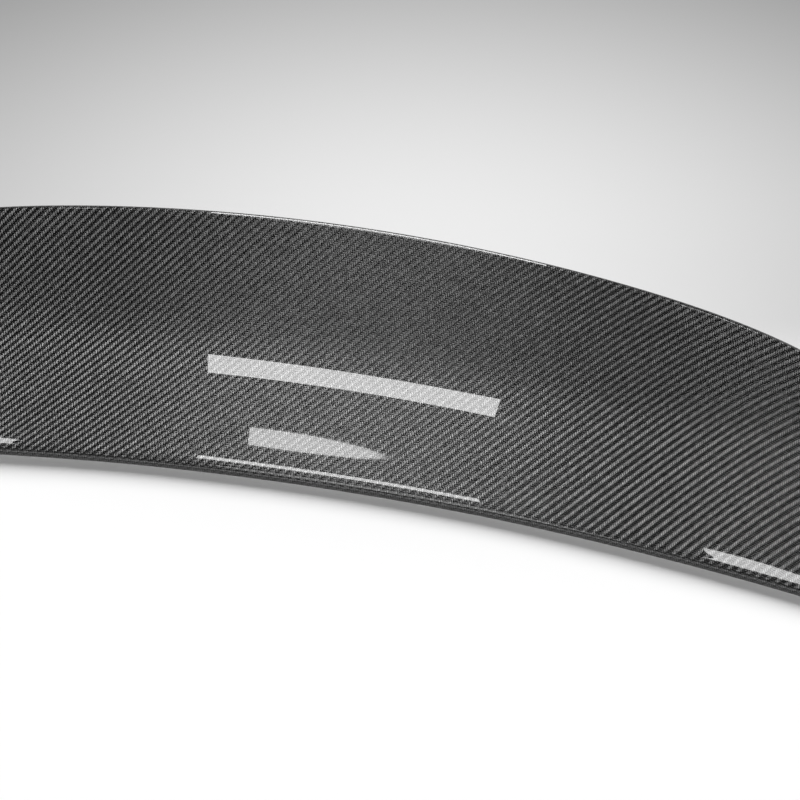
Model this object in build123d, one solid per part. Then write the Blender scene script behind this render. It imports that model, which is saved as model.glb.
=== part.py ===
"""One-piece carbon-fibre boot-lid spoiler, a hollow ducktail moulded as a single laminate shell.

Millimetres. +X runs along the width, +Y towards the car's rear, +Z up. The origin lies under the
middle of the part, on the plane of the bonding flange that sits on the boot lid.
"""

from build123d import *
from math import atan2, cos, degrees, pi, radians, sin, sqrt
import os

# overall form
span = 1200.0             # width, tip to tip
depth = 239.0             # front to back on the centre plane
height = 88.0             # trailing edge above the boot lid on the centre plane
tip_depth = 120.0         # front to back at each tip
tip_height = 32.0         # height at each tip
tip_power = 8.0           # how late the trailing edge sweeps in towards the tips

# plan and crown
lead_radius = 3020.0      # leading edge, seen from above
trail_radius = 2110.0     # trailing edge, seen from above
crown_radius = 5200.0     # trailing edge, seen from behind

# laminate
wall = 2.2                # thickness of the moulded skin
cut_depth = 6.6           # block that opens the hollow, through the flange and clear on both sides
flange_width = 18.0       # bonding flange turned in under the skin, all round

# leading edge
nose_height = 4.0         # upright foot of the nose
nose_radius = 7.0         # roll from the foot on to the panel
shoulder_radius = 122.0   # softer roll between nose and panel
shoulder_turn = 4.1       # degrees turned by that softer roll

# panel
ramp_drop = 10.3          # degrees by which the panel starts flatter than its chord
kick_rise = 10.4          # degrees by which it ends steeper than its chord
ramp_pull = 0.65          # reach of the panel's lower tangent, as a share of its chord
kick_pull = 0.35          # reach of its upper tangent

# trailing edge and rear face
edge_radius = 4.0         # rounded trailing edge
lip_heading = -134.0      # heading of the rear face just under the edge, at the centre
tip_heading = -100.0      # the same at the tips
foot_heading = -92.0      # heading of the rear face where it meets the boot lid
overhang = 58.0           # trailing edge behind the rear foot, at the centre
tip_overhang = 6.0        # the same at the tips
rear_pull = 0.26          # reach of the rear face's end tangents, as a share of its chord

end_round = 3.0           # rounding round each closed end
steps = 7                 # sections from the centre to each tip
rim_steps = 4             # straight steps in each end's rounding
nose_arcs = 3             # arcs that share the turn of the nose
edge_arcs = 4             # arcs that share the turn of the trailing edge

half_span = span / 2


def sag(radius, x):
    """Distance by which an arc of this radius has fallen away at x from its crown."""
    return radius - sqrt(radius**2 - x**2)


def heading(angle):
    """Unit vector in a section's plane, by its angle above the horizontal."""
    return Vector(cos(radians(angle)), sin(radians(angle)))


def roll(centre, radius, start, turn, arcs):
    """Round stretch of an outline, its turn shared between short arcs."""
    share = turn / arcs
    return [CenterArc(centre, radius, start + share * step, share) for step in range(arcs)]


def reach(x):
    """Front edge, depth and height of the section at x."""
    late = abs(x / half_span) ** tip_power
    front = -sag(lead_radius, x)
    full_depth = depth - sag(trail_radius, x) + sag(lead_radius, x)
    full_height = height - sag(crown_radius, x)
    end_depth = depth - sag(trail_radius, half_span) + sag(lead_radius, half_span)
    end_height = height - sag(crown_radius, half_span)
    return front, full_depth - (end_depth - tip_depth) * late, full_height - (end_height - tip_height) * late


def fullness(rise):
    """How near a section of this height is to the centre's, from 0 at the tips to 1."""
    return (rise - tip_height) / (height - tip_height)


def rear_foot(x):
    """Where the rear face of the section at x meets the boot lid."""
    front, run, rise = reach(x)
    return front + run - tip_overhang - (overhang - tip_overhang) * fullness(rise)


def section(x, inset, floor, rounded):
    """Closed outline of the spoiler at x, drawn inwards by inset and standing on the height floor.

    Its trailing edge is rounded, or else closed by a flat land.
    """
    front, run, rise = reach(x)
    full = fullness(rise)
    chord_angle = degrees(atan2(rise - nose_height - nose_radius, run - nose_radius))
    ramp = chord_angle - ramp_drop * full
    kick = chord_angle + kick_rise * full
    lip = tip_heading + (lip_heading - tip_heading) * full

    # nose: an upright foot, a tight roll and a softer shoulder
    nose_centre = Vector(front + nose_radius, nose_height)
    shoulder_angle = 90 + ramp + shoulder_turn
    shoulder_centre = nose_centre + heading(shoulder_angle) * (nose_radius - shoulder_radius)
    toe = Vector(front + inset, floor)
    foot = Line(toe, Vector(front + inset, nose_height))
    nose = roll(nose_centre, nose_radius - inset, 180, shoulder_angle - 180, nose_arcs)
    shoulder = CenterArc(shoulder_centre, shoulder_radius - inset, shoulder_angle, -shoulder_turn)

    # trailing edge
    edge_centre = Vector(front + run - edge_radius, rise - edge_radius)
    edge_start = edge_centre + heading(90 + kick) * (edge_radius - inset)
    edge_end = edge_centre + heading(90 + lip) * (edge_radius - inset)
    edge = [Line(edge_start, edge_end)]
    if rounded:
        edge = roll(edge_centre, edge_radius - inset, 90 + kick, lip - kick, edge_arcs)

    # hollow panel between them
    ramp_start = shoulder @ 1
    chord = (edge_start - ramp_start).length
    panel = Bezier(
        ramp_start,
        ramp_start + heading(ramp) * (ramp_pull * chord),
        edge_start - heading(kick) * (kick_pull * chord),
        edge_start,
    )

    # rear face, hollowed under the lip
    heel = Vector(rear_foot(x) - inset, floor)
    fall = (heel - edge_end).length
    rear = Bezier(
        edge_end,
        edge_end + heading(lip) * (rear_pull * fall),
        heel - heading(foot_heading) * (rear_pull * fall),
        heel,
    )
    outline = [foot, *nose, shoulder, panel, *edge, rear, Line(heel, toe)]
    return Plane(origin=(x, 0, 0), x_dir=(0, 1, 0), z_dir=(1, 0, 0)) * make_face(outline)


def spread(end):
    """Places of the sections between two tips, closer together towards them."""
    return [end * sin(pi / 2 * step / steps) for step in range(-steps, steps + 1)]


def rounded_end(side):
    """Rim that closes one tip with a quarter-round, on the side -1 or +1."""
    turns = [radians(90 * step / rim_steps) for step in range(rim_steps + 1)]
    rims = [(half_span - end_round * (1 - sin(turn)), end_round * (1 - cos(turn))) for turn in turns]
    return loft([section(side * x, inset, 0, True) for x, inset in rims], ruled=True)


def drawn_in(x, margin):
    """Place of a section that keeps a margin from the tips, which are swept as well as closed."""
    return x * (half_span - margin) / half_span


def opening():
    """Block that opens the hollow between the bonding flanges."""
    end = half_span - flange_width
    front = ThreePointArc(*[(x, flange_width - sag(lead_radius, x)) for x in (-end, 0, end)])
    rear = Spline(*[(drawn_in(x, flange_width), rear_foot(x) - flange_width) for x in spread(half_span)])
    outline = [front, rear, Line(front @ 0, rear @ 0), Line(front @ 1, rear @ 1)]
    return Pos(0, 0, -wall) * extrude(make_face(outline), cut_depth)


skin = loft([section(x, 0, 0, True) for x in spread(half_span - end_round)])
skin = skin + rounded_end(-1) + rounded_end(1)
hollow = loft([Pos(drawn_in(x, wall) - x, 0, 0) * section(x, wall, wall, False) for x in spread(half_span)])
shell = skin - hollow - opening()

# the origin goes under the middle of the part
middle = (depth - sag(lead_radius, half_span)) / 2
spoiler_shell = Pos(0, -middle, 0) * shell

os.makedirs("parts", exist_ok=True)
export_step(spoiler_shell, "parts/spoiler_shell.step")
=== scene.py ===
"""Dressed scene of a one-piece carbon-fibre boot-lid spoiler.

The moulded shell is drawn as one closed, finely divided skin with the fabric's own coordinates on
it, dressed in woven carbon under polished clear coat outside and in bare laminate inside.
Metres, unless a class says otherwise. +X runs along the width, +Y towards the car's rear, +Z up.
"""

from __future__ import annotations

import logging
import math
from dataclasses import astuple, dataclass, field
from enum import Enum, IntEnum
from typing import Mapping, Sequence

import bmesh
import bpy
import numpy as np
from mathutils import Matrix, Vector

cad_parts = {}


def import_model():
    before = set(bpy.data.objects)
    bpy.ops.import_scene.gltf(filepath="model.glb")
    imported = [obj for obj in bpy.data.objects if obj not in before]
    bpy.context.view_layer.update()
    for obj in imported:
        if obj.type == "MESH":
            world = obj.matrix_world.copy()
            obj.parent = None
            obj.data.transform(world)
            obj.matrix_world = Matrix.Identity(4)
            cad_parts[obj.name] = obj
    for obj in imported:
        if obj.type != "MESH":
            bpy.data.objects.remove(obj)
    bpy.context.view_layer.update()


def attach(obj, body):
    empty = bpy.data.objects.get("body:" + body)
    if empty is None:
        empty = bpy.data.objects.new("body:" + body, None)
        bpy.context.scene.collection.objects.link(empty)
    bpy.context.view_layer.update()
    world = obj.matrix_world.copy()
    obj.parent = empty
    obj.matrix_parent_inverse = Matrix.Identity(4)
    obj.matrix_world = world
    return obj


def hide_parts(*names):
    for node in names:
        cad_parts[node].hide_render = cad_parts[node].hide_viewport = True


LOG = logging.getLogger("spoiler")
MILLIMETRE = 0.001
IMAGE_WIDTH = 800
SENSOR_WIDTH = 36.0
FABRIC = "fabric"


class Side(IntEnum):
    """End of the spoiler."""

    LEFT = -1
    RIGHT = 1


class Layer(IntEnum):
    """Material slot of a face of the shell."""

    OUTSIDE = 0
    INSIDE = 1


class Fibre(Enum):
    """Direction of a tow, as the turn of its sheen from the line of the weft."""

    WARP = 0.0
    WEFT = 0.25


class Signal:
    """Number that varies over a surface: a node's socket with Python's operators."""

    def __init__(self, graph: NodeGraph, socket: bpy.types.NodeSocket) -> None:
        """Wraps a socket of the graph."""
        self.graph = graph
        self.socket = socket

    def _math(self, operation: str, *operands: Scalar) -> Signal:
        """Adds a Math node.

        Args:
            operation: The node's operation.
            operands: Its inputs, in order.

        Returns:
            The node's result.
        """
        inputs = dict(enumerate(operands))
        node = self.graph.add("ShaderNodeMath", {"operation": operation}, inputs)
        return Signal(self.graph, node.outputs[0])

    def __add__(self, other: Scalar) -> Signal:
        """Sum."""
        return self._math("ADD", self, other)

    def __radd__(self, other: Scalar) -> Signal:
        """Sum, reflected."""
        return self._math("ADD", other, self)

    def __sub__(self, other: Scalar) -> Signal:
        """Difference."""
        return self._math("SUBTRACT", self, other)

    def __rsub__(self, other: Scalar) -> Signal:
        """Difference, reflected."""
        return self._math("SUBTRACT", other, self)

    def __mul__(self, other: Scalar) -> Signal:
        """Product."""
        return self._math("MULTIPLY", self, other)

    def __rmul__(self, other: Scalar) -> Signal:
        """Product, reflected."""
        return self._math("MULTIPLY", other, self)

    def __truediv__(self, other: Scalar) -> Signal:
        """Quotient."""
        return self._math("DIVIDE", self, other)

    def __rtruediv__(self, other: Scalar) -> Signal:
        """Quotient, reflected."""
        return self._math("DIVIDE", other, self)

    def __pow__(self, other: Scalar) -> Signal:
        """Power."""
        return self._math("POWER", self, other)

    def __rpow__(self, other: Scalar) -> Signal:
        """Power, reflected."""
        return self._math("POWER", other, self)

    def __lt__(self, other: Scalar) -> Signal:
        """1 where it is less than the other, else 0."""
        return self._math("LESS_THAN", self, other)

    def wrap(self, period: float) -> Signal:
        """Remainder after whole periods, never negative."""
        return self._math("WRAP", self, period, 0.0)

    def floor(self) -> Signal:
        """Whole part."""
        return self._math("FLOOR", self)

    def fraction(self) -> Signal:
        """Part after the whole part."""
        return self._math("FRACT", self)

    def magnitude(self) -> Signal:
        """Absolute value."""
        return self._math("ABSOLUTE", self)

    def clamp(self) -> Signal:
        """Value held between 0 and 1."""
        return self._math("MINIMUM", self._math("MAXIMUM", self, 0.0), 1.0)

    def smooth(self, low: float, high: float) -> Signal:
        """Smooth step from 0 at low to 1 at high."""
        node = self.graph.add(
            "ShaderNodeMapRange",
            {"interpolation_type": "SMOOTHSTEP"},
            {"Value": self, "From Min": low, "From Max": high},
        )
        return Signal(self.graph, node.outputs[0])

    def choose(self, yes: Scalar, no: Scalar) -> Signal:
        """Takes yes where this mask is 1 and no where it is 0."""
        node = self.graph.add("ShaderNodeMix", {}, {"Factor_Float": self, "A_Float": no, "B_Float": yes})
        return Signal(self.graph, node.outputs[0])


Scalar = Signal | float | int
Link = Signal | bpy.types.NodeSocket | float | int | Sequence[float]


class NodeGraph:
    """Node tree that is filled through one method."""

    def __init__(self, tree: bpy.types.NodeTree) -> None:
        """Takes a tree over and empties it."""
        self.tree = tree
        tree.nodes.clear()

    def add(
        self,
        kind: str,
        settings: Mapping[str, object] | None = None,
        inputs: Mapping[str | int, Link] | None = None,
    ) -> bpy.types.Node:
        """Adds a node.

        Args:
            kind: The node's type.
            settings: Its properties, set first.
            inputs: Values or links, by a socket's name, identifier or number.

        Returns:
            The new node.
        """
        node = self.tree.nodes.new(kind)
        for key, value in (settings or {}).items():
            setattr(node, key, value)
        for key, value in (inputs or {}).items():
            socket = self._socket(node, key)
            if isinstance(value, Signal):
                self.tree.links.new(value.socket, socket)
            elif isinstance(value, bpy.types.NodeSocket):
                self.tree.links.new(value, socket)
            else:
                socket.default_value = value
        return node

    @staticmethod
    def _socket(node: bpy.types.Node, key: str | int) -> bpy.types.NodeSocket:
        """Finds an input of a node.

        Args:
            node: The node.
            key: The input's number, identifier or name.

        Returns:
            The input.
        """
        if isinstance(key, int):
            return node.inputs[key]
        named = [socket for socket in node.inputs if socket.identifier == key]
        return named[0] if named else node.inputs[key]

    def signal(self, node: bpy.types.Node, output: str | int = 0) -> Signal:
        """Output of a node as a signal."""
        return Signal(self, node.outputs[output])

    def grey(self, level: Scalar) -> bpy.types.NodeSocket:
        """Neutral colour of a varying level."""
        node = self.add("ShaderNodeCombineColor", {}, {"Red": level, "Green": level, "Blue": level})
        return node.outputs[0]

    def vector(self, x: Scalar, y: Scalar, z: Scalar) -> bpy.types.NodeSocket:
        """Vector from three numbers."""
        return self.add("ShaderNodeCombineXYZ", {}, {"X": x, "Y": y, "Z": z}).outputs[0]


@dataclass(frozen=True)
class ClearCoat:
    """Polished lacquer over the laminate."""

    weight: float = 1.0
    roughness: float = 0.010
    ior: float = 1.5

    def sockets(self) -> dict[str, float]:
        """Values of the shader's coat sockets."""
        return {"Coat Weight": self.weight, "Coat Roughness": self.roughness, "Coat IOR": self.ior}


@dataclass(frozen=True)
class TwillCell:
    """Place of a point in the weave, in tows.

    Attributes:
        across: Place along the weft.
        along: Place along the warp.
        column: Number of the warp tow.
        row: Number of the weft tow.
        diagonal: Number of the twill's rib.
        warp_up: 1 where a warp tow is on top, 0 where a weft tow is.
        warp_side: Place across the warp tow, from -1 to 1.
        weft_side: Place across the weft tow, from -1 to 1.
        warp_float: Place along a warp float, from -1 to 1 where it is on top.
        weft_float: Place along a weft float, from -1 to 1 where it is on top.
    """

    across: Signal
    along: Signal
    column: Signal
    row: Signal
    diagonal: Signal
    warp_up: Signal
    warp_side: Signal
    weft_side: Signal
    warp_float: Signal
    weft_float: Signal

    @classmethod
    def at(cls, across: Signal, along: Signal, over: int) -> TwillCell:
        """Finds a place in the twill.

        Args:
            across: Place along the weft, in tows.
            along: Place along the warp, in tows.
            over: Number of tows that a float passes over.

        Returns:
            The place.
        """
        column, row = across.floor(), along.floor()
        repeat = 2 * over
        step = (column + row).wrap(repeat)
        return cls(
            across=across,
            along=along,
            column=column,
            row=row,
            diagonal=((column + row) / repeat).floor(),
            warp_up=step < over,
            warp_side=across.fraction() * 2.0 - 1.0,
            weft_side=along.fraction() * 2.0 - 1.0,
            warp_float=step + along.fraction() - over / 2,
            weft_float=step + across.fraction() - (over + over / 2),
        )

    def on_top(self, warp: Scalar, weft: Scalar) -> Signal:
        """Takes the warp's value where a warp tow is on top, else the weft's."""
        return self.warp_up.choose(warp, weft)


@dataclass(frozen=True)
class TwillCarbon:
    """Woven carbon, two over and two under, its tows glinting across their fibres.

    Attributes:
        name: Name of the material.
        pitch: Distance from tow to tow, in metres.
        over: Number of tows that a float passes over.
        fibre_grey: Brightness of the fibres.
        tow_spread: How far floats differ in brightness, as a share.
        painted_gap_shade: Share of the brightness left in the gap between two tows, a painted shade where
            the tows' rounded sides dip into shadow.
        gap_start: Where that painted shade sets in, from 0 in a tow's middle to 1 at its side.
        painted_end_shade: Share of the brightness left at one end of each float, a painted shade where the
            float dives under and light from one side leaves it in shadow.
        end_start: Where that painted shade sets in, from 0 in a float's middle to 1 at its end.
        roughness: Roughness of the fibres.
        sheen_stretch: How far their sheen is stretched across them, up to 1.
        crown: Slope of a tow's surface at its sides.
        crimp: Slope of a float's surface at its ends.
        filament: How far filaments differ in brightness, as a share.
        filaments_per_tow: Fineness of the filaments across a tow.
        streaks_per_tow: Fineness of their streaks along a tow.
        coat: Lacquer over the fibres, if any.
    """

    name: str
    pitch: float = 0.002
    over: int = 2
    fibre_grey: float = 0.134
    tow_spread: float = 0.22
    # painted shade: share of the colour left in the gaps between tows and at one end of each float
    painted_gap_shade: float = 0.08
    gap_start: float = 0.35
    painted_end_shade: float = 0.25
    end_start: float = 0.20
    roughness: float = 0.36
    sheen_stretch: float = 1.0
    crown: float = 0.16
    crimp: float = 0.03
    filament: float = 0.25
    filaments_per_tow: float = 14.0
    streaks_per_tow: float = 0.5
    coat: ClearCoat | None = field(default_factory=ClearCoat)

    def material(self) -> bpy.types.Material:
        """Builds the material.

        Returns:
            The woven finish, warp and weft mixed by the twill.
        """
        material = bpy.data.materials.new(self.name)
        material.use_nodes = True
        graph = NodeGraph(material.node_tree)
        place = graph.add("ShaderNodeUVMap", {"uv_map": FABRIC})
        split = graph.add("ShaderNodeSeparateXYZ", {}, {"Vector": place.outputs[0]})
        across = graph.signal(split, "X") / self.pitch
        along = graph.signal(split, "Y") / self.pitch
        cell = TwillCell.at(across, along, self.over)

        tilt_across = cell.on_top(cell.warp_side * self.crown, cell.weft_float * self.crimp)
        tilt_along = cell.on_top(cell.warp_float * self.crimp, cell.weft_side * self.crown)
        normal = graph.add(
            "ShaderNodeNormalMap",
            {"space": "TANGENT", "uv_map": FABRIC},
            {"Color": graph.vector(0.5 + 0.5 * tilt_across, 0.5 + 0.5 * tilt_along, 1.0)},
        )
        colour = graph.grey(self._level(graph, cell))
        warp, weft = (self._tow_shader(graph, fibre, colour, normal.outputs[0]) for fibre in Fibre)
        mix = graph.add("ShaderNodeMixShader", {}, {0: cell.warp_up, 1: weft, 2: warp})
        graph.add("ShaderNodeOutputMaterial", {}, {"Surface": mix.outputs[0]})
        return material

    def _level(self, graph: NodeGraph, cell: TwillCell) -> Signal:
        """Brightness of the fibres, with each float's own level, its filaments, and painted shade at its
        rims: in the gaps between tows and at one end of each float.

        Args:
            graph: The material's nodes.
            cell: Place in the weave.

        Returns:
            The grey level.
        """
        spot = graph.vector(cell.on_top(cell.column, cell.row), cell.diagonal, cell.warp_up)
        chance = graph.signal(graph.add("ShaderNodeTexWhiteNoise", {}, {"Vector": spot}))
        fine, coarse = self.filaments_per_tow, self.streaks_per_tow
        streak_place = graph.vector(
            cell.on_top(cell.across * fine, cell.across * coarse),
            cell.on_top(cell.along * coarse, cell.along * fine),
            cell.warp_up,
        )
        noise = graph.add("ShaderNodeTexNoise", {}, {"Vector": streak_place, "Scale": 1.0, "Detail": 1.0})
        streak = graph.signal(noise)
        # painted shade: the colour darkens in the gaps between tows and at one end of each float, where
        # shadow falls
        gap = cell.on_top(cell.warp_side, cell.weft_side).magnitude().smooth(self.gap_start, 1.0)
        end = cell.on_top(cell.warp_float, -1.0 * cell.weft_float).smooth(self.end_start, 1.0)
        level = self.fibre_grey * (1.0 + self.tow_spread * (2.0 * chance - 1.0))
        level = level * (1.0 + self.filament * (2.0 * streak - 1.0))
        return level * (1.0 - (1.0 - self.painted_gap_shade) * gap) * (1.0 - (1.0 - self.painted_end_shade) * end)

    def _tow_shader(
        self,
        graph: NodeGraph,
        fibre: Fibre,
        colour: bpy.types.NodeSocket,
        normal: bpy.types.NodeSocket,
    ) -> bpy.types.NodeSocket:
        """Shader of the tows of one direction.

        Args:
            graph: The material's nodes.
            fibre: Direction of the tows.
            colour: Colour of the fibres.
            normal: Normal of the tow's surface.

        Returns:
            The shader's output.
        """
        inputs: dict[str | int, Link] = {
            "Base Color": colour,
            "Metallic": 1.0,
            "Roughness": self.roughness,
            "Anisotropic": self.sheen_stretch,
            "Anisotropic Rotation": fibre.value,
            "Normal": normal,
        }
        if self.coat:
            inputs.update(self.coat.sockets())
        return graph.add("ShaderNodeBsdfPrincipled", {}, inputs).outputs[0]


@dataclass(frozen=True)
class Drape:
    """How the fabric lies on the panel.

    Places are taken from a middle on the panel, where wide is 1 at half of the half width and deep is
    1 at the nose. Each term is a length in metres, named after what it does to the cloth.
    """

    reach: float = 0.300
    fall: float = 0.125
    weft_length: float = 0.3006
    weft_gather: float = 0.0015
    weft_stretch: float = 0.0027
    weft_shear: float = -0.0132
    weft_sway: float = 0.0013
    weft_swing: float = 0.0024
    weft_fan: float = -0.0043
    weft_waist: float = -0.0087
    warp_length: float = 0.1251
    warp_gather: float = -0.0011
    warp_stretch: float = -0.0006
    warp_tilt: float = -0.0055
    warp_bow: float = 0.0019
    warp_swing: float = -0.0015
    warp_fan: float = 0.0019
    deep_limits: tuple[float, float] = (-1.6, 1.3)

    def place(self, x: np.ndarray, run: np.ndarray) -> tuple[np.ndarray, np.ndarray]:
        """Finds fabric coordinates.

        Args:
            x: Place along the width.
            run: Run over the skin from the trailing edge, positive towards the nose.

        Returns:
            Place along the weft and along the warp.
        """
        wide = x / self.reach
        straight = run / self.fall - 1.0
        deep = np.clip(straight, *self.deep_limits)
        weft = self.weft_length * wide + self.weft_gather * wide**2 + self.weft_stretch * wide**3
        weft = weft + self.weft_shear * deep + self.weft_sway * deep**2 + self.weft_swing * deep**3
        weft = weft + self.weft_fan * wide * deep + self.weft_waist * wide * deep**2
        warp = self.warp_length * straight + self.warp_gather * deep**2 + self.warp_stretch * deep**3
        warp = warp + self.warp_tilt * wide + self.warp_bow * wide**2 + self.warp_swing * wide**3
        return weft, warp + self.warp_fan * wide * deep


@dataclass(frozen=True)
class Division:
    """Number of steps along each stretch of an outline."""

    foot: int = 2
    nose: int = 16
    shoulder: int = 14
    panel: int = 110
    edge: int = 44
    rear: int = 26

    def thinned(self, share: float) -> Division:
        """The same with a share of the steps, but at least two on each stretch."""
        return Division(*(max(2, round(count * share)) for count in astuple(self)))


@dataclass(frozen=True)
class Ducktail:
    """Form of the spoiler, in millimetres and degrees, as the solid has it.

    Attributes:
        span: Width, tip to tip.
        depth: Front to back on the centre plane.
        height: Trailing edge above the boot lid on the centre plane.
        tip_depth: Front to back at each tip.
        tip_height: Height at each tip.
        tip_power: How late the trailing edge sweeps in towards the tips.
        lead_radius: Leading edge, seen from above.
        trail_radius: Trailing edge, seen from above.
        crown_radius: Trailing edge, seen from behind.
        wall: Thickness of the moulded skin.
        flange_width: Bonding flange turned in under the skin, all round.
        nose_height: Upright foot of the nose.
        nose_radius: Roll from the foot on to the panel.
        shoulder_radius: Softer roll between nose and panel.
        shoulder_turn: Angle turned by that softer roll.
        ramp_drop: Angle by which the panel starts flatter than its chord.
        kick_rise: Angle by which it ends steeper than its chord.
        ramp_pull: Reach of the panel's lower tangent, as a share of its chord.
        kick_pull: Reach of its upper tangent.
        edge_radius: Rounded trailing edge.
        lip_heading: Heading of the rear face just under the edge, at the centre.
        tip_heading: The same at the tips.
        foot_heading: Heading of the rear face where it meets the boot lid.
        overhang: Trailing edge behind the rear foot, at the centre.
        tip_overhang: The same at the tips.
        rear_pull: Reach of the rear face's end tangents, as a share of its chord.
        end_round: Rounding round each closed end.
    """

    span: float = 1200.0
    depth: float = 239.0
    height: float = 88.0
    tip_depth: float = 120.0
    tip_height: float = 32.0
    tip_power: float = 8.0
    lead_radius: float = 3020.0
    trail_radius: float = 2110.0
    crown_radius: float = 5200.0
    wall: float = 2.2
    flange_width: float = 18.0
    nose_height: float = 4.0
    nose_radius: float = 7.0
    shoulder_radius: float = 122.0
    shoulder_turn: float = 4.1
    ramp_drop: float = 10.3
    kick_rise: float = 10.4
    ramp_pull: float = 0.65
    kick_pull: float = 0.35
    edge_radius: float = 4.0
    lip_heading: float = -134.0
    tip_heading: float = -100.0
    foot_heading: float = -92.0
    overhang: float = 58.0
    tip_overhang: float = 6.0
    rear_pull: float = 0.26
    end_round: float = 3.0

    @property
    def half_span(self) -> float:
        """Half of the width."""
        return self.span / 2

    @property
    def middle(self) -> float:
        """Distance from the nose to the middle of the part on the centre plane."""
        return (self.depth - self.sag(self.lead_radius, self.half_span)) / 2

    @staticmethod
    def sag(radius: float, x: float) -> float:
        """Distance by which an arc of this radius has fallen away at x from its crown."""
        return radius - math.sqrt(radius**2 - x**2)

    @staticmethod
    def heading(angle: float) -> np.ndarray:
        """Unit vector in a section's plane, by its angle above the horizontal."""
        return np.array([math.cos(math.radians(angle)), math.sin(math.radians(angle))])

    @staticmethod
    def arc(centre: np.ndarray, radius: float, start: float, turn: float, steps: int) -> np.ndarray:
        """Points along an arc.

        Args:
            centre: Its centre.
            radius: Its radius.
            start: Angle of its first point, in degrees.
            turn: Angle that it turns through, in degrees.
            steps: Number of steps.

        Returns:
            One point for each step, and the first.
        """
        angles = np.radians(start + turn * np.linspace(0.0, 1.0, steps + 1))
        return centre + radius * np.stack([np.cos(angles), np.sin(angles)], axis=1)

    @staticmethod
    def curve(corners: Sequence[np.ndarray], steps: int) -> np.ndarray:
        """Points along a cubic curve from its first to its last corner.

        Args:
            corners: Its two ends and the two corners between them that pull it.
            steps: Number of steps.

        Returns:
            One point for each step, and the first.
        """
        t = np.linspace(0.0, 1.0, steps + 1)[:, None]
        weights = [(1 - t) ** 3, 3 * (1 - t) ** 2 * t, 3 * (1 - t) * t**2, t**3]
        return sum(weight * corner for weight, corner in zip(weights, corners))

    def extent(self, x: float) -> tuple[float, float, float]:
        """Finds how far a section reaches.

        Args:
            x: Place along the width.

        Returns:
            The section's front edge, depth and height.
        """
        late = abs(x / self.half_span) ** self.tip_power
        front = -self.sag(self.lead_radius, x)
        depth = self.depth - self.sag(self.trail_radius, x) + self.sag(self.lead_radius, x)
        height = self.height - self.sag(self.crown_radius, x)
        end_sag = self.sag(self.lead_radius, self.half_span) - self.sag(self.trail_radius, self.half_span)
        end_height = self.height - self.sag(self.crown_radius, self.half_span)
        depth -= (self.depth + end_sag - self.tip_depth) * late
        return front, depth, height - (end_height - self.tip_height) * late

    def fullness(self, x: float) -> float:
        """How near the section at x is to the centre's, from 0 at the tips to 1."""
        return (self.extent(x)[2] - self.tip_height) / (self.height - self.tip_height)

    def rear_foot(self, x: float) -> float:
        """Where the rear face of the section at x meets the boot lid."""
        front, depth, _ = self.extent(x)
        return front + depth - self.tip_overhang - (self.overhang - self.tip_overhang) * self.fullness(x)

    def drawn_in(self, x: float, margin: float) -> float:
        """Place of a section that keeps a margin from the tips."""
        return x * (self.half_span - margin) / self.half_span

    def outline(
        self, x: float, inset: float, floor: float, steps: Division, rounded: bool
    ) -> tuple[np.ndarray, np.ndarray]:
        """Outline of the section at x from the toe over the nose, panel and trailing edge to the heel.

        Args:
            x: Place along the width.
            inset: Distance by which it is drawn inwards.
            floor: Height that it stands on.
            steps: How finely it is divided.
            rounded: Whether its trailing edge is rounded, or else closed by a flat land.

        Returns:
            Points (y, z), and each one's run from the top of the trailing edge towards the nose.
        """
        front, depth, rise = self.extent(x)
        full = self.fullness(x)
        climb = math.atan2(rise - self.nose_height - self.nose_radius, depth - self.nose_radius)
        ramp = math.degrees(climb) - self.ramp_drop * full
        kick = math.degrees(climb) + self.kick_rise * full
        lip = self.tip_heading + (self.lip_heading - self.tip_heading) * full

        toe = np.array([front + inset, floor])
        ankle = np.array([front + inset, self.nose_height])
        foot = toe + (ankle - toe) * np.linspace(0.0, 1.0, steps.foot + 1)[:, None]
        nose_centre = np.array([front + self.nose_radius, self.nose_height])
        start = 90 + ramp + self.shoulder_turn
        nose = self.arc(nose_centre, self.nose_radius - inset, 180, start - 180, steps.nose)
        shoulder_centre = nose_centre + self.heading(start) * (self.nose_radius - self.shoulder_radius)
        shoulder_radius = self.shoulder_radius - inset
        shoulder = self.arc(shoulder_centre, shoulder_radius, start, -self.shoulder_turn, steps.shoulder)

        edge_centre = np.array([front + depth - self.edge_radius, rise - self.edge_radius])
        edge = self.arc(edge_centre, self.edge_radius - inset, 90 + kick, lip - kick, steps.edge)
        if not rounded:
            edge = edge[[0, -1]]
        chord = np.linalg.norm(edge[0] - shoulder[-1])
        panel = self.curve(
            [
                shoulder[-1],
                shoulder[-1] + self.heading(ramp) * self.ramp_pull * chord,
                edge[0] - self.heading(kick) * self.kick_pull * chord,
                edge[0],
            ],
            steps.panel,
        )
        heel = np.array([self.rear_foot(x) - inset, floor])
        fall = np.linalg.norm(heel - edge[-1])
        rear = self.curve(
            [
                edge[-1],
                edge[-1] + self.heading(lip) * self.rear_pull * fall,
                heel - self.heading(self.foot_heading) * self.rear_pull * fall,
                heel,
            ],
            steps.rear,
        )
        points = np.vstack([foot, nose[1:], shoulder[1:], panel[1:], edge[1:], rear[1:]])
        lengths = np.linalg.norm(np.diff(points, axis=0), axis=1)
        travelled = np.concatenate([[0.0], np.cumsum(lengths)])
        top = sum(len(stretch) - 1 for stretch in (foot, nose, shoulder, panel))
        return points, travelled[top] - travelled


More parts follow.
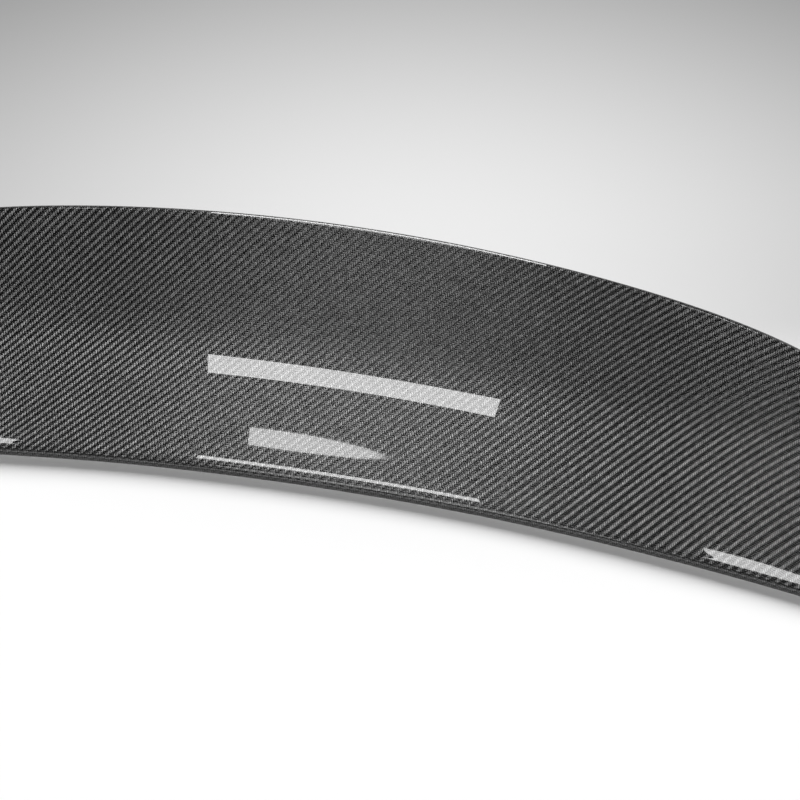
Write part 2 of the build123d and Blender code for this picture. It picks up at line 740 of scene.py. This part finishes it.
@dataclass(frozen=True)
class LacquerWave:
    """Shallow step that rubbing down leaves in the lacquer along the nose, in millimetres.

    Attributes:
        height: Height of the step, on the side of the nose.
        climb: Where it lies, by the run up the skin from the toe.
        fade: Half of the run over which it fades out.
        onset: Where it sets in along the width and where it is full, from 0 at the centre to 1 at
            the tips.
    """

    height: float
    climb: float
    fade: float
    onset: tuple[float, float]

    def lift(self, wide: float, run: np.ndarray) -> np.ndarray:
        """Finds how far the skin stands out.

        Args:
            wide: Place along the width, from 0 at the centre to 1 at the tips.
            run: Run over the skin from the trailing edge, from the toe to the heel.

        Returns:
            Distance outwards.
        """
        start, full = self.onset
        share = min(1.0, max(0.0, (wide - start) / (full - start)))
        climb = run[0] - run
        step = 0.5 - 0.5 * np.tanh((climb - self.climb) / self.fade)
        return self.height * share**2 * (3 - 2 * share) * step


@dataclass(frozen=True)
class EdgeFlat:
    """Narrow flat that polishing leaves along the rounded trailing edge, in millimetres.

    Attributes:
        place: Run from the start of the edge's round to the middle of the flat.
        width: Width of the flat.
    """

    place: float = 2.4
    width: float = 1.7

    def lift(self, radius: float, run: np.ndarray) -> np.ndarray:
        """Finds how far the skin stands out, which is less than nothing on the flat.

        Args:
            radius: Radius of the edge.
            run: Run over the skin from the trailing edge, from the toe to the heel.

        Returns:
            Distance outwards.
        """
        half_angle = self.width / 2 / radius
        angle = np.clip((-run - self.place) / radius, -half_angle, half_angle)
        return radius * (math.cos(half_angle) / np.cos(angle) - 1.0)


class Patchwork:
    """Gathers stretches of skin and sews them into one mesh."""

    def __init__(self) -> None:
        """Starts with no stretch."""
        self.points: list[np.ndarray] = []
        self.fabric: list[np.ndarray] = []
        self.faces: list[list[int]] = []
        self.layers: list[int] = []

    def _store(self, points: np.ndarray, fabric: np.ndarray) -> int:
        """Keeps points.

        Args:
            points: The points.
            fabric: Their fabric coordinates.

        Returns:
            Number of the first one.
        """
        start = sum(len(block) for block in self.points)
        self.points.append(points.reshape(-1, 3))
        self.fabric.append(fabric.reshape(-1, 2))
        return start

    def grid(self, points: np.ndarray, fabric: np.ndarray, layer: Layer) -> None:
        """Adds a sheet of four-sided faces.

        Args:
            points: Rows of points.
            fabric: Fabric coordinates of the points.
            layer: Finish of the sheet.
        """
        rows, columns = points.shape[:2]
        start = self._store(points, fabric)
        for row in range(rows - 1):
            for column in range(columns - 1):
                corner = start + row * columns + column
                self.faces.append([corner, corner + 1, corner + columns + 1, corner + columns])
                self.layers.append(int(layer))

    def plate(self, points: np.ndarray, fabric: np.ndarray, layer: Layer) -> None:
        """Adds one flat face.

        Args:
            points: Its corners in order.
            fabric: Fabric coordinates of the corners.
            layer: Its finish.
        """
        start = self._store(points, fabric)
        self.faces.append(list(range(start, start + len(points))))
        self.layers.append(int(layer))

    def sew(self, name: str, weld: float, crease: float) -> bpy.types.Object:
        """Makes the mesh.

        Args:
            name: Name of the object.
            weld: Distance within which points are joined.
            crease: Angle above which an edge is sharp, in degrees.

        Returns:
            The object, in the scene.
        """
        mesh = bpy.data.meshes.new(name)
        mesh.from_pydata(np.vstack(self.points).tolist(), [], self.faces)
        corners = np.concatenate([np.asarray(face) for face in self.faces])
        layer = mesh.uv_layers.new(name=FABRIC)
        layer.data.foreach_set("uv", np.vstack(self.fabric)[corners].astype(np.float32).ravel())
        mesh.polygons.foreach_set("material_index", np.asarray(self.layers, dtype=np.int32))
        work = bmesh.new()
        work.from_mesh(mesh)
        bmesh.ops.remove_doubles(work, verts=work.verts, dist=weld)
        bmesh.ops.recalc_face_normals(work, faces=work.faces)
        for face in work.faces:
            face.smooth = True
        work.to_mesh(mesh)
        work.free()
        mesh.set_sharp_from_angle(angle=math.radians(crease))
        piece = bpy.data.objects.new(name, mesh)
        bpy.context.scene.collection.objects.link(piece)
        return piece


@dataclass
class SpoilerShell:
    """The moulded shell: skin, closed ends, bonding flange and hollow.

    Attributes:
        form: Form of the spoiler.
        drape: How the fabric lies on it.
        outside: Finish of the skin.
        inside: Finish of the hollow and the flange.
        waves: Waves of the lacquer along the nose.
        edge_flat: Flat on the trailing edge.
        steps: How finely a section of the skin is divided.
        inner_share: Share of those steps in a section of the hollow.
        stations: Sections of the skin from the centre to each tip.
        inner_stations: Sections of the hollow from the centre to each tip.
        evenness: How evenly the sections stand, from crowded towards the tips at 0 to even at 1.
        rim_steps: Steps in the rounding of each end.
        weld: Distance within which points are joined, in metres.
        crease: Angle above which an edge is sharp, in degrees.
        weft_centre: Place from front to back of the upright axis that the weft's sheen bows round,
            in metres.
    """

    form: Ducktail = field(default_factory=Ducktail)
    drape: Drape = field(default_factory=Drape)
    outside: TwillCarbon = field(default_factory=lambda: TwillCarbon("woven_carbon_gloss"))
    inside: TwillCarbon = field(
        default_factory=lambda: TwillCarbon(
            "bare_laminate", fibre_grey=0.06, roughness=0.62, crown=0.22, crimp=0.2, coat=None
        )
    )
    waves: tuple[LacquerWave, ...] = (
        LacquerWave(height=-0.07, climb=27.0, fade=9.0, onset=(-1.0, 0.0)),
        LacquerWave(height=0.80, climb=15.0, fade=4.0, onset=(0.25, 0.55)),
    )
    edge_flat: EdgeFlat = field(default_factory=EdgeFlat)
    steps: Division = field(default_factory=Division)
    inner_share: float = 0.5
    stations: int = 120
    inner_stations: int = 60
    evenness: float = 0.45
    rim_steps: int = 6
    weld: float = 2e-6
    crease: float = 38.0
    weft_centre: float = -2.3

    def build(self) -> bpy.types.Object:
        """Builds and dresses the shell.

        Returns:
            The one mesh that stands for the moulded solid.
        """
        work = Patchwork()
        skin = self._skin(work)
        hollow = self._hollow(work)
        self._flange(work, skin, hollow)
        piece = work.sew("spoiler_skin", self.weld, self.crease)
        # the shader's own tangent runs in rings round the middle of this space
        piece.data.use_auto_texspace = False
        piece.data.texspace_location = (0.0, self.weft_centre, 0.0)
        piece.data.texspace_size = (1.0, 1.0, 1.0)
        for finish in (self.outside, self.inside):
            piece.data.materials.append(finish.material())
        return piece

    def _spread(self, end: float, count: int) -> list[float]:
        """Spreads sections between two tips, closer together towards them.

        Args:
            end: Distance of each tip from the centre.
            count: Number of sections from the centre to each tip.

        Returns:
            Places of the sections.
        """
        steps = [step / count for step in range(-count, count + 1)]
        crowded = 1 - self.evenness
        return [end * (self.evenness * t + crowded * math.sin(math.pi / 2 * t)) for t in steps]

    def _lay(self, x: float, points: np.ndarray) -> np.ndarray:
        """Places a section's points in the part's frame, in metres."""
        y = points[:, 0] - self.form.middle
        return np.stack([np.full(len(points), x), y, points[:, 1]], axis=1) * MILLIMETRE

    def _fabric(self, x: float, run: np.ndarray) -> np.ndarray:
        """Fabric coordinates of a section's points."""
        across = np.full(len(run), x * MILLIMETRE)
        return np.stack(self.drape.place(across, run * MILLIMETRE), axis=1)

    def _polish(self, x: float, points: np.ndarray, run: np.ndarray) -> np.ndarray:
        """Gives a section's points the waves of the lacquer.

        Args:
            x: Place of the section.
            points: Its points from the toe to the heel.
            run: Each one's run from the trailing edge towards the nose.

        Returns:
            The points, moved in or out by less than a millimetre.
        """
        ahead = np.gradient(points, axis=0)
        outward = np.stack([-ahead[:, 1], ahead[:, 0]], axis=1) / np.linalg.norm(ahead, axis=1)[:, None]
        wide = abs(x) / self.form.half_span
        lift = self.edge_flat.lift(self.form.edge_radius, run)
        lift = lift + sum(wave.lift(wide, run) for wave in self.waves)
        return points + outward * lift[:, None]

    def _skin(self, work: Patchwork) -> np.ndarray:
        """Adds the outside with its rounded and closed ends.

        Args:
            work: Mesh under construction.

        Returns:
            Rows of points of the outside, from end to end.
        """
        form = self.form
        turns = [math.radians(90 * step / self.rim_steps) for step in range(1, self.rim_steps + 1)]
        rims = [
            (form.half_span - form.end_round * (1 - math.sin(turn)), form.end_round * (1 - math.cos(turn)))
            for turn in turns
        ]
        places = [(x, 0.0) for x in self._spread(form.half_span - form.end_round, self.stations)]
        places = [(-x, inset) for x, inset in reversed(rims)] + places + rims
        rows, cloth = [], []
        for x, inset in places:
            points, run = form.outline(x, inset, 0.0, self.steps, rounded=True)
            rows.append(self._lay(x, self._polish(x, points, run)))
            cloth.append(self._fabric(x, run))
        work.grid(np.array(rows), np.array(cloth), Layer.OUTSIDE)
        for side, row in zip(Side, (rows[0], rows[-1])):
            work.plate(row, row[:, 1:] * [side.value, 1.0], Layer.OUTSIDE)
        return np.array(rows)

    def _hollow(self, work: Patchwork) -> np.ndarray:
        """Adds the inner face of the laminate.

        Args:
            work: Mesh under construction.

        Returns:
            Rows of points of the inside, from end to end.
        """
        form = self.form
        steps = self.steps.thinned(self.inner_share)
        rows, cloth = [], []
        for x in self._spread(form.half_span, self.inner_stations):
            points, run = form.outline(x, form.wall, form.wall, steps, rounded=False)
            place = form.drawn_in(x, form.wall)
            rows.append(self._lay(place, points))
            cloth.append(self._fabric(place, run))
        work.grid(np.array(rows), np.array(cloth), Layer.INSIDE)
        for row in (rows[0], rows[-1]):
            work.plate(row, row[:, 1:], Layer.INSIDE)
        return np.array(rows)

    def _flange(self, work: Patchwork, skin: np.ndarray, hollow: np.ndarray) -> None:
        """Adds the bonding flange: its underside, its upper face and its cut edge.

        Args:
            work: Mesh under construction.
            skin: Rows of points of the outside.
            hollow: Rows of points of the inside.
        """
        wall = self.form.wall
        for rows, height in ((skin, 0.0), (hollow, wall)):
            mouths = [self._mouth(row[0, 0] / MILLIMETRE, height) for row in rows]
            sheet = np.stack([self._ring(rows[:, [0, -1]]), self._ring(np.array(mouths))])
            work.grid(sheet, sheet[..., :2], Layer.INSIDE)
        places = self._spread(self.form.half_span, self.inner_stations)
        lips = [self._ring(np.array([self._mouth(x, height) for x in places])) for height in (0.0, wall)]
        sheet = np.stack(lips)
        work.grid(sheet, sheet[..., [0, 2]], Layer.INSIDE)

    @staticmethod
    def _ring(pairs: np.ndarray) -> np.ndarray:
        """Closed ring along the front points of pairs and back along their rear points."""
        return np.concatenate([pairs[:, 0], pairs[::-1, 1], pairs[:1, 0]])

    def _mouth(self, x: float, height: float) -> np.ndarray:
        """Finds the opening's edge.

        Args:
            x: Place of the section that the points belong to.
            height: Height of the points.

        Returns:
            Front and rear point of the opening.
        """
        form = self.form
        held = max(-form.half_span, min(form.half_span, x))
        place = form.drawn_in(held, form.flange_width)
        front = form.flange_width - form.sag(form.lead_radius, place)
        rear = form.rear_foot(held) - form.flange_width
        return self._lay(place, np.array([[front, height], [rear, height]]))


def compass(bearing: float, elevation: float) -> Vector:
    """Unit vector by its bearing from +X towards +Y and its height, both in degrees."""
    turn, rise = math.radians(bearing), math.radians(elevation)
    return Vector((math.cos(turn) * math.cos(rise), math.sin(turn) * math.cos(rise), math.sin(rise)))


def finish_lamp(lamp: bpy.types.Object, lit: bpy.types.Collection) -> None:
    """Puts a lamp in the scene, out of the camera's sight.

    Args:
        lamp: The lamp.
        lit: What it shines on.
    """
    lamp.visible_camera = False
    lamp.light_linking.receiver_collection = lit
    bpy.context.scene.collection.objects.link(lamp)


@dataclass(frozen=True)
class Softbox:
    """Rectangular studio lamp.

    Attributes:
        name: Its name.
        centre: Where it hangs.
        target: What it faces.
        size: Its two sides.
        radiance: Brightness of its face, where 1 is white.
        turn: Turn about its own axis, in degrees.
    """

    name: str
    centre: tuple[float, float, float]
    target: tuple[float, float, float]
    size: tuple[float, float]
    radiance: float
    turn: float = 0.0

    def hang(self, lit: bpy.types.Collection) -> None:
        """Hangs the lamp.

        Args:
            lit: What it shines on.
        """
        data = bpy.data.lights.new(self.name, "AREA")
        data.shape = "RECTANGLE"
        data.size, data.size_y = self.size
        data.energy = math.pi * self.size[0] * self.size[1] * self.radiance
        lamp = bpy.data.objects.new(self.name, data)
        beam = Vector(self.target) - Vector(self.centre)
        facing = beam.to_track_quat("-Z", "Y").to_matrix().to_4x4()
        spin = Matrix.Rotation(math.radians(self.turn), 4, "Z")
        lamp.matrix_world = Matrix.Translation(self.centre) @ facing @ spin
        finish_lamp(lamp, lit)


@dataclass(frozen=True)
class FarLamp:
    """Round lamp so far away that it lights the floor evenly.

    Attributes:
        name: Its name.
        bearing: Where its light comes from, in degrees from +X towards +Y.
        elevation: How high it stands, in degrees.
        width: Its apparent size, in degrees.
        level: Light that white paper sends back under it, where 1 is white.
    """

    name: str
    bearing: float
    elevation: float
    width: float
    level: float

    def hang(self, lit: bpy.types.Collection) -> None:
        """Hangs the lamp.

        Args:
            lit: What it shines on.
        """
        data = bpy.data.lights.new(self.name, "SUN")
        data.angle = math.radians(self.width)
        data.energy = math.pi * self.level / math.sin(math.radians(self.elevation))
        lamp = bpy.data.objects.new(self.name, data)
        away = compass(self.bearing, self.elevation)
        lamp.matrix_world = Matrix.Translation(away) @ away.to_track_quat("Z", "Y").to_matrix().to_4x4()
        finish_lamp(lamp, lit)


def overhead(
    name: str, x: float, y: float, size: tuple[float, float], radiance: float, turn: float = 0.0
) -> Softbox:
    """Softbox that hangs level above the spoiler.

    Args:
        name: Its name.
        x: Its place along the width.
        y: Its place from front to back.
        size: Its two sides.
        radiance: Brightness of its face.
        turn: Turn seen from below, in degrees.

    Returns:
        The lamp.
    """
    height = 1.5
    return Softbox(name, (x, y, height), (x, y, 0.0), size, radiance, turn)


def side_lamps(name: str, y: float, width: float, radiance: float) -> tuple[Softbox, ...]:
    """Pair of softboxes on the left and on the right of the spoiler, leaning over it.

    Args:
        name: Their name, after the side's.
        y: Their place from front to back.
        width: Their level side.
        radiance: Brightness of their faces.

    Returns:
        The lamps.
    """
    distance, height, tall = 1.70, 1.25, 0.90
    target = (0.0, y, 0.05)
    return tuple(
        Softbox(f"{side.name.lower()}_{name}", (side * distance, y, height), target, (width, tall), radiance)
        for side in Side
    )


@dataclass(frozen=True)
class StudioPaper:
    """Seamless paper: white in front of the spoiler, with painted light falloff behind it, fading to grey
    towards the rear and darkening to its sides round a painted pool of light.

    Lengths are in metres along the paper's own axes; levels are grey, where 1 is white.

    Attributes:
        white: Level in front.
        pale: Level just behind the front.
        fade: Drop of the level towards the rear, a painted light falloff.
        painted_fade_range: Where that painted falloff starts and ends, from front to back.
        painted_pool_centre: Place along the width of a painted pool of light, where the rear is brightest.
        painted_pool_width: Distance from it at which the sides have darkened in painted falloff.
        painted_pool_falloff: How far that painted falloff has darkened them there.
        front_range: Where the front ends and the rear starts.
        glow: Level of the pale horizon.
        glow_range: Where the paper starts to turn into it, and where it has.
    """

    white: float = 0.95
    pale: float = 0.80
    fade: float = 0.60
    painted_fade_range: tuple[float, float] = (0.18, 0.75)
    # painted light: a pool of light in the middle of the rear, and its falloff to the sides
    painted_pool_centre: float = 0.095
    painted_pool_width: float = 0.385
    painted_pool_falloff: float = 0.30
    front_range: tuple[float, float] = (-0.02, 0.10)
    glow: float = 0.8
    glow_range: tuple[float, float] = (0.9, 3.0)

    def material(self) -> bpy.types.Material:
        """Builds the material.

        Returns:
            The paper, which glows far away from the spoiler so that it ends in a pale horizon.
        """
        material = bpy.data.materials.new("studio_paper")
        material.use_nodes = True
        graph = NodeGraph(material.node_tree)
        place = graph.add("ShaderNodeTexCoord")
        split = graph.add("ShaderNodeSeparateXYZ", {}, {"Vector": place.outputs["Object"]})
        x, y = graph.signal(split, "X"), graph.signal(split, "Y")
        path = graph.add("ShaderNodeLightPath")
        seen = graph.signal(path, "Is Camera Ray") + graph.signal(path, "Is Glossy Ray")
        seen = (seen + graph.signal(path, "Is Transmission Ray")).clamp()
        far = ((x * x + y * y) ** 0.5).smooth(*self.glow_range)
        glow = graph.add("ShaderNodeEmission", {}, {"Color": graph.grey(self.glow * far * seen)})
        level = self._level(x, y) * (1.0 - far)
        paper = graph.add("ShaderNodeBsdfDiffuse", {}, {"Color": graph.grey(level)})
        both = graph.add("ShaderNodeAddShader", {}, {0: paper.outputs[0], 1: glow.outputs[0]})
        graph.add("ShaderNodeOutputMaterial", {}, {"Surface": both.outputs[0]})
        return material

    def _level(self, x: Signal, y: Signal) -> Signal:
        """Finds the grey level of the paper, with its painted pool of light and falloff.

        Args:
            x: Place along the paper's width.
            y: Place from its front to its back.

        Returns:
            The level.
        """
        # painted light: a pool of light round the column, with falloff towards the rear and the sides,
        # painted into the paper's colour
        off = (x - self.painted_pool_centre) / self.painted_pool_width
        behind = (self.pale - self.fade * y.smooth(*self.painted_fade_range)) / (1.0 + self.painted_pool_falloff * off * off)
        front = 1.0 - y.smooth(*self.front_range)
        return front.choose(self.white, behind)


@dataclass
class Studio:
    """Floor, lamps and surroundings.

    Attributes:
        paper: Finish of the floor.
        paper_size: Its side.
        paper_turn: Its turn to the spoiler, in degrees.
        paper_height: Its height, a hair under the flange.
        ceiling_grey: Level of the ceiling.
        horizon_grey: Level of the horizon.
        horizon_range: Where the horizon ends and the ceiling starts, as the rise of a line of sight.
        shell_lamps: Lamps that light the spoiler and show in its lacquer.
        floor_lamps: Lamps that light the floor.
    """

    paper: StudioPaper = field(default_factory=StudioPaper)
    paper_size: float = 40.0
    paper_turn: float = 9.7
    paper_height: float = -0.0003
    ceiling_grey: float = 0.020
    horizon_grey: float = 0.35
    horizon_range: tuple[float, float] = (0.05, 0.40)
    shell_lamps: tuple[Softbox, ...] = (
        overhead("strip_lamp", -0.0765, 0.0674, (0.379, 0.0716), 11.5),
        overhead("patch_lamp", -0.076, 0.226, (0.260, 0.080), 9.8, 1.2),
        overhead("left_corner_lamp", -0.571, 0.258, (0.070, 0.160), 10.5, 16.0),
        overhead("right_corner_lamp", 0.516, 0.211, (0.140, 0.160), 10.5, -16.0),
        overhead("front_lamp", -0.080, -1.95, (0.300, 2.000), 2.4),
        Softbox("back_lamp", (0.0, 1.80, 0.80), (0.0, 0.10, 0.08), (3.0, 0.8), 1.2),
        Softbox("edge_lamp", (-0.080, 1.420, 1.490), (-0.080, 0.140, 0.085), (0.80, 0.26), 14.0),
        *side_lamps("front_lamp", -1.10, 2.3, 6.8),
        *side_lamps("rear_lamp", 0.50, 0.9, 11.0),
    )
    floor_lamps: tuple[FarLamp, ...] = (
        FarLamp("shadow_lamp", 99.7, 29.5, 28.0, 0.80),
        FarLamp("fill_lamp", 279.7, 70.0, 10.0, 0.22),
    )

    def build(self, shell: bpy.types.Object) -> bpy.types.Object:
        """Builds the studio round the shell.

        Args:
            shell: The dressed spoiler.

        Returns:
            The floor.
        """
        floor = self._floor()
        self._surroundings()
        for lamps, target in ((self.shell_lamps, shell), (self.floor_lamps, floor)):
            lit = bpy.data.collections.new(f"lit_{target.name}")
            lit.objects.link(target)
            for lamp in lamps:
                lamp.hang(lit)
        return floor

    def _floor(self) -> bpy.types.Object:
        """Lays the sheet of paper under the spoiler.

        Returns:
            The floor.
        """
        half = self.paper_size / 2
        corners = [(-half, -half, 0.0), (half, -half, 0.0), (half, half, 0.0), (-half, half, 0.0)]
        mesh = bpy.data.meshes.new("floor")
        mesh.from_pydata(corners, [], [(0, 1, 2, 3)])
        mesh.materials.append(self.paper.material())
        floor = bpy.data.objects.new("floor", mesh)
        floor.location.z = self.paper_height
        floor.rotation_euler.z = math.radians(self.paper_turn)
        bpy.context.scene.collection.objects.link(floor)
        return floor

    def _surroundings(self) -> None:
        """Dark ceiling over a pale horizon."""
        world = bpy.data.worlds.new("studio")
        bpy.context.scene.world = world
        world.use_nodes = True
        graph = NodeGraph(world.node_tree)
        place = graph.add("ShaderNodeTexCoord")
        split = graph.add("ShaderNodeSeparateXYZ", {}, {"Vector": place.outputs["Generated"]})
        rise = graph.signal(split, "Z").smooth(*self.horizon_range)
        level = self.horizon_grey + (self.ceiling_grey - self.horizon_grey) * rise
        sky = graph.add("ShaderNodeBackground", {}, {"Color": graph.grey(level), "Strength": 1.0})
        graph.add("ShaderNodeOutputWorld", {}, {"Surface": sky.outputs[0]})


@dataclass(frozen=True)
class LongLensCamera:
    """Camera that looks down on the panel from the car's front.

    Lengths are in millimetres and angles in degrees; scale is pixels to a millimetre at the target.
    """

    target: tuple[float, float, float] = (63.0, -5.0, 40.0)
    distance: float = 2600.0
    scale: float = 1.0595
    elevation: float = 62.0
    yaw: float = 5.19
    roll: float = -4.0

    def build(self) -> bpy.types.Object:
        """Places the camera and makes it the scene's.

        Returns:
            The camera.
        """
        back = compass(self.yaw - 90.0, self.elevation)
        level = compass(self.yaw, 0.0)
        upright = back.cross(level)
        roll = math.radians(self.roll)
        right = level * math.cos(roll) - upright * math.sin(roll)
        up = level * math.sin(roll) + upright * math.cos(roll)
        eye = (Vector(self.target) + back * self.distance) * MILLIMETRE
        data = bpy.data.cameras.new("camera")
        data.sensor_width = SENSOR_WIDTH
        data.lens = self.scale * self.distance / IMAGE_WIDTH * SENSOR_WIDTH
        camera = bpy.data.objects.new("camera", data)
        camera.matrix_world = Matrix.Translation(eye) @ Matrix((right, up, back)).transposed().to_4x4()
        bpy.context.scene.collection.objects.link(camera)
        bpy.context.scene.camera = camera
        return camera


def main() -> None:
    """Builds the spoiler, the studio and the camera, and reports the pieces."""
    logging.basicConfig(level=logging.INFO, format="%(name)s: %(message)s")
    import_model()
    bpy.context.scene.view_settings.view_transform = "Standard"

    shell = SpoilerShell().build()
    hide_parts("spoiler_shell")
    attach(shell, "root")
    LOG.info("piece %s, %d faces", shell.name, len(shell.data.polygons))

    floor = Studio().build(shell)
    LOG.info("stage %s", floor.name)
    camera = LongLensCamera().build()
    LOG.info("camera with a %.0f mm lens", camera.data.lens)


if __name__ == "__main__":
    main()
